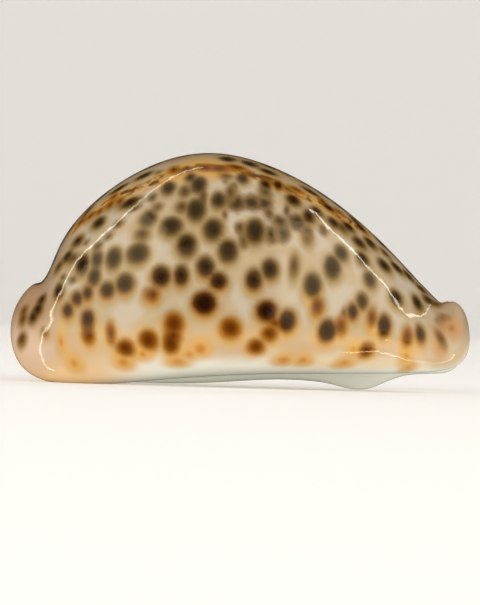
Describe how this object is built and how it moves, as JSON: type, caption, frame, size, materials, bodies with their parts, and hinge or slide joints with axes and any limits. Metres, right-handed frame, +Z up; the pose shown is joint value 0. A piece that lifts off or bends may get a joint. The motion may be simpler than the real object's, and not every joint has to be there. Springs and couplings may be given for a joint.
{
  "type": "cowrie shell",
  "caption": "Glossy egg-shaped sea snail shell with a domed back, a toothed slit along its base and a notch at either end; rests on its base.",
  "frame": {"origin": "bottom centre of the shell's box, on the surface it rests on", "axes": "+X along the shell to its anterior end, -Y to its outer (labral) lip, +Z up to its domed back"},
  "size_m": [0.0792, 0.0562, 0.0405],
  "materials": {
    "shell": "high natural gloss, cream with dark brown spots, whitish base"
  },
  "bodies": {
    "root": {"shell": "shell"}
  },
  "joints": []
}
